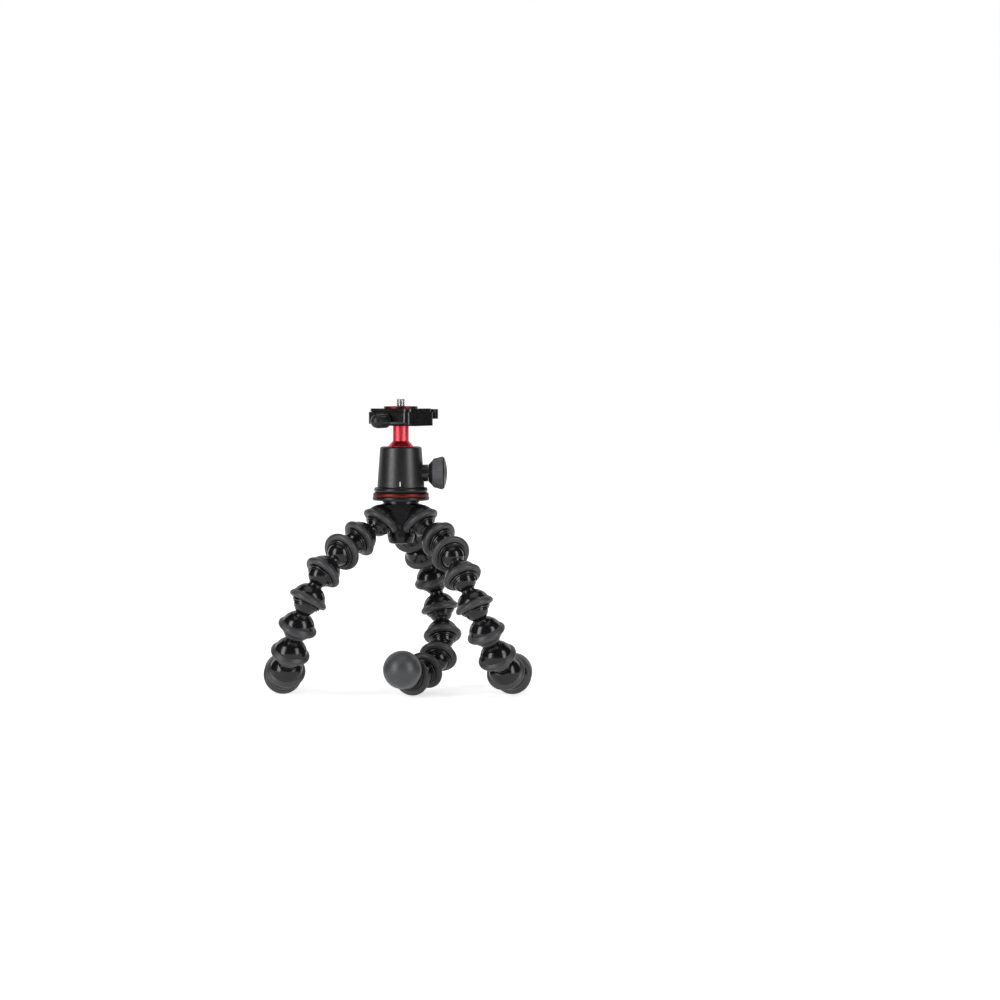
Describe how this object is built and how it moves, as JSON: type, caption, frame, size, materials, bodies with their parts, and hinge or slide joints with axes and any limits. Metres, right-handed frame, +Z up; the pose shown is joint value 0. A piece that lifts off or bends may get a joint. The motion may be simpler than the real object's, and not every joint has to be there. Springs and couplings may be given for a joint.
{
  "type": "flexible leg tripod",
  "caption": "Small camera stand with bendable ball-and-socket link legs ending in rubber feet, a hub, and a ball head with a red stem, lock knob and quick release clamp.",
  "frame": {"origin": "floor level, at the centre of the stand's box in plan", "axes": "+Z up, +X to the right of the picture, +Y away from the viewer"},
  "size_m": [0.203, 0.1434, 0.2204],
  "materials": {
    "black_gloss": "moulded glossy black",
    "grip_rubber": "matte dark grey overmoulded rubber",
    "foot_rubber": "matte grey rubber",
    "steel": "turned steel",
    "red_anodised": "red anodised",
    "black_anodised": "satin black anodised",
    "knob_plastic": "satin black plastic",
    "vial": "green fluid vial"
  },
  "bodies": {
    "hub": {"hub_body": "black_gloss", "hub_grip_rings": "grip_rubber", "hub_base_cap": "black_gloss", "head_stud": "steel", "pan_base": "black_anodised", "pan_trim_ring": "red_anodised", "pan_disc": "black_anodised", "pan_bolt": "steel"},
    "head": {"head_housing": "black_anodised", "ball_collar": "black_anodised"},
    "ball_seat": {"ball_seat": "knob_plastic"},
    "ball": {"ball_stem": "red_anodised", "clamp_base": "black_anodised", "clamp_bolt": "steel", "bubble_level": "vial"},
    "lock_knob": {"lock_knob": "knob_plastic", "lock_knob_grip": "grip_rubber", "lock_screw": "steel"},
    "lock_shoe": {"lock_shoe": "steel"},
    "pan_lock": {"pan_lock_knob": "knob_plastic"},
    "clamp_jaw": {"clamp_jaw": "black_anodised", "guide_pins": "steel"},
    "clamp_knob": {"clamp_knob": "knob_plastic", "clamp_screw": "steel"},
    "plate": {"quick_release_plate": "black_anodised", "plate_ring": "red_anodised", "plate_pad": "grip_rubber"},
    "camera_screw": {"camera_screw": "steel"},
    "left_link_1": {"left_link_1": "black_gloss"},
    "left_link_2": {"left_link_2": "black_gloss"},
    "left_link_3": {"left_link_3": "black_gloss"},
    "left_link_4": {"left_link_4": "black_gloss"},
    "left_link_5": {"left_link_5": "black_gloss"},
    "left_link_6": {"left_link_6": "black_gloss"},
    "left_link_7": {"left_link_7": "black_gloss"},
    "left_link_8": {"left_link_8": "black_gloss"},
    "left_foot": {"left_foot": "black_gloss", "left_foot_pad": "foot_rubber"},
    "right_link_1": {"right_link_1": "black_gloss"},
    "right_link_2": {"right_link_2": "black_gloss"},
    "right_link_3": {"right_link_3": "black_gloss"},
    "right_link_4": {"right_link_4": "black_gloss"},
    "right_link_5": {"right_link_5": "black_gloss"},
    "right_link_6": {"right_link_6": "black_gloss"},
    "right_link_7": {"right_link_7": "black_gloss"},
    "right_link_8": {"right_link_8": "black_gloss"},
    "right_foot": {"right_foot": "black_gloss", "right_foot_pad": "foot_rubber"},
    "back_link_1": {"back_link_1": "black_gloss"},
    "back_link_2": {"back_link_2": "black_gloss"},
    "back_link_3": {"back_link_3": "black_gloss"},
    "back_link_4": {"back_link_4": "black_gloss"},
    "back_link_5": {"back_link_5": "black_gloss"},
    "back_link_6": {"back_link_6": "black_gloss"},
    "back_link_7": {"back_link_7": "black_gloss"},
    "back_link_8": {"back_link_8": "black_gloss"},
    "back_foot": {"back_foot": "black_gloss", "back_foot_pad": "foot_rubber"}
  },
  "joints": [
    {"name": "pan_turn", "type": "hinge", "parent": "hub", "child": "head", "pos_m": [0.00313, 0.00101, 0.15494], "axis": [0, 0, 1], "continuous": true},
    {"name": "ball_swivel", "type": "hinge", "parent": "head", "child": "ball_seat", "pos_m": [0.00313, 0.00101, 0.18204], "axis": [0, 0, 1], "continuous": true},
    {"name": "ball_tilt", "type": "hinge", "parent": "ball_seat", "child": "ball", "pos_m": [0.00313, 0.00101, 0.18204], "axis": [0, 1, 0], "range_deg": [-35, 35]},
    {"name": "lock_turn", "type": "hinge", "parent": "head", "child": "lock_knob", "pos_m": [0.02313, 0.00101, 0.16524], "axis": [1, 0, 0], "range_deg": [-180, 0]},
    {"name": "lock_press", "type": "slide", "parent": "head", "child": "lock_shoe", "axis": [1, 0, 0], "range_m": [-0.0005, 0]},
    {"name": "pan_lock_turn", "type": "hinge", "parent": "head", "child": "pan_lock", "pos_m": [-0.00204, 0.02033, 0.15954], "axis": [-0.2588, 0.9659, 0], "range_deg": [0, 270]},
    {"name": "jaw_slide", "type": "slide", "parent": "ball", "child": "clamp_jaw", "axis": [-0.5736, -0.8192, 0], "range_m": [0, 0.002]},
    {"name": "clamp_knob_turn", "type": "hinge", "parent": "clamp_jaw", "child": "clamp_knob", "pos_m": [-0.00834, -0.01537, 0.20444], "axis": [-0.5736, -0.8192, 0], "range_deg": [0, 1440]},
    {"name": "plate_slide", "type": "slide", "parent": "ball", "child": "plate", "axis": [0.8192, -0.5736, 0], "range_m": [-0.008, 0.008]},
    {"name": "camera_screw_turn", "type": "hinge", "parent": "plate", "child": "camera_screw", "pos_m": [0.00313, 0.00101, 0.21334], "axis": [0, 0, 1], "continuous": true},
    {"name": "left_bend_1", "type": "hinge", "parent": "hub", "child": "left_link_1", "pos_m": [-0.01297, -0.00829, 0.12734], "axis": [0.4199, 0.2424, -0.8746], "range_deg": [-11, 23]},
    {"name": "left_bend_2", "type": "hinge", "parent": "left_link_1", "child": "left_link_2", "pos_m": [-0.0291, -0.02038, 0.11625], "axis": [-0.5764, 0.8156, -0.0507], "range_deg": [-27, 17]},
    {"name": "left_bend_3", "type": "hinge", "parent": "left_link_2", "child": "left_link_3", "pos_m": [-0.04045, -0.03856, 0.10791], "axis": [-0.4922, -0.4304, 0.7566], "range_deg": [-7, 41]},
    {"name": "left_bend_4", "type": "hinge", "parent": "left_link_3", "child": "left_link_4", "pos_m": [-0.05368, -0.04987, 0.09288], "axis": [0.6534, -0.757, -0.0056], "range_deg": [-51, 5]},
    {"name": "left_bend_5", "type": "hinge", "parent": "left_link_4", "child": "left_link_5", "pos_m": [-0.06392, -0.05329, 0.07257], "axis": [-0.7893, -0.6037, 0.1125], "range_deg": [-6, 38]},
    {"name": "left_bend_6", "type": "hinge", "parent": "left_link_5", "child": "left_link_6", "pos_m": [-0.07176, -0.04689, 0.05192], "axis": [0.5108, -0.7471, -0.4253], "range_deg": [-38, 20]},
    {"name": "left_bend_7", "type": "hinge", "parent": "left_link_6", "child": "left_link_7", "pos_m": [-0.07767, -0.03693, 0.03204], "axis": [-0.8714, -0.412, -0.2664], "range_deg": [-5, 45]},
    {"name": "left_bend_8", "type": "hinge", "parent": "left_link_7", "child": "left_link_8", "pos_m": [-0.0819, -0.01904, 0.01822], "axis": [0.4548, -0.4747, -0.7536], "range_deg": [-31, 7]},
    {"name": "left_bend_9", "type": "hinge", "parent": "left_link_8", "child": "left_foot", "pos_m": [-0.08596, 0.00315, 0.01372], "axis": [-0.9079, -0.0528, -0.4158], "range_deg": [-19, 37]},
    {"name": "right_bend_1", "type": "hinge", "parent": "hub", "child": "right_link_1", "pos_m": [0.01924, -0.00829, 0.12734], "axis": [0.446, -0.2575, 0.8572], "range_deg": [-7, 31]},
    {"name": "right_bend_2", "type": "hinge", "parent": "right_link_1", "child": "right_link_2", "pos_m": [0.03355, -0.02208, 0.11575], "axis": [-0.6434, -0.758, 0.1071], "range_deg": [-23, 19]},
    {"name": "right_bend_3", "type": "hinge", "parent": "right_link_2", "child": "right_link_3", "pos_m": [0.04193, -0.04138, 0.10647], "axis": [-0.5265, 0.5215, -0.6715], "range_deg": [-7, 35]},
    {"name": "right_bend_4", "type": "hinge", "parent": "right_link_3", "child": "right_link_4", "pos_m": [0.05075, -0.05424, 0.08956], "axis": [0.7589, 0.6443, -0.0947], "range_deg": [-45, 5]},
    {"name": "right_bend_5", "type": "hinge", "parent": "right_link_4", "child": "right_link_5", "pos_m": [0.05954, -0.05784, 0.06862], "axis": [-0.7133, 0.6963, -0.0796], "range_deg": [-6, 42]},
    {"name": "right_bend_6", "type": "hinge", "parent": "right_link_5", "child": "right_link_6", "pos_m": [0.06809, -0.0514, 0.04826], "axis": [-0.594, -0.6609, -0.4586], "range_deg": [-19, 37]},
    {"name": "right_bend_7", "type": "hinge", "parent": "right_link_6", "child": "right_link_7", "pos_m": [0.07604, -0.04027, 0.02977], "axis": [0.8304, -0.4743, -0.2923], "range_deg": [-42, 8]},
    {"name": "right_bend_8", "type": "hinge", "parent": "right_link_7", "child": "right_link_8", "pos_m": [0.08208, -0.02196, 0.01722], "axis": [-0.4914, -0.3763, -0.7855], "range_deg": [-6, 36]},
    {"name": "right_bend_9", "type": "hinge", "parent": "right_link_8", "child": "right_foot", "pos_m": [0.08696, 0.00028, 0.014], "axis": [-0.8956, 0.0107, 0.4448], "range_deg": [-23, 29]},
    {"name": "back_bend_1", "type": "hinge", "parent": "hub", "child": "back_link_1", "pos_m": [0.00313, 0.01961, 0.12734], "axis": [0, 0.5878, 0.809], "range_deg": [-4, 44]},
    {"name": "back_bend_2", "type": "hinge", "parent": "back_link_1", "child": "back_link_2", "pos_m": [0.011, 0.03709, 0.11464], "axis": [-0.9397, 0.2767, -0.201], "range_deg": [-38, 20]},
    {"name": "back_bend_3", "type": "hinge", "parent": "back_link_2", "child": "back_link_3", "pos_m": [0.01877, 0.05225, 0.09918], "axis": [0.1962, 0.9175, 0.3459], "range_deg": [-12, 18]},
    {"name": "back_bend_4", "type": "hinge", "parent": "back_link_3", "child": "back_link_4", "pos_m": [0.02634, 0.05847, 0.07837], "axis": [0.9237, -0.2913, 0.2487], "range_deg": [-2, 56]},
    {"name": "back_bend_5", "type": "hinge", "parent": "back_link_4", "child": "back_link_5", "pos_m": [0.0314, 0.05433, 0.05632], "axis": [-0.3857, -0.7858, 0.4836], "range_deg": [-19, 17]},
    {"name": "back_bend_6", "type": "hinge", "parent": "back_link_5", "child": "back_link_6", "pos_m": [0.03336, 0.04163, 0.03725], "axis": [-0.9187, 0.2786, -0.28], "range_deg": [-51, 7]},
    {"name": "back_bend_7", "type": "hinge", "parent": "back_link_6", "child": "back_link_7", "pos_m": [0.02966, 0.02385, 0.02313], "axis": [-0.3008, -0.1942, 0.9337], "range_deg": [-10, 30]},
    {"name": "back_bend_8", "type": "hinge", "parent": "back_link_7", "child": "back_link_8", "pos_m": [0.01935, 0.00464, 0.01581], "axis": [0.8418, -0.5142, 0.1643], "range_deg": [-15, 43]},
    {"name": "back_bend_9", "type": "hinge", "parent": "back_link_8", "child": "back_foot", "pos_m": [0.01012, -0.01638, 0.01438], "axis": [0.0033, 0.3986, 0.9171], "range_deg": [-28, 6]}
  ],
  "couplings": [
    {"joint": "lock_press", "follows": "lock_turn", "m_per_rad": 0.00015915},
    {"joint": "clamp_knob_turn", "follows": "jaw_slide", "rad_per_m": 12566}
  ]
}
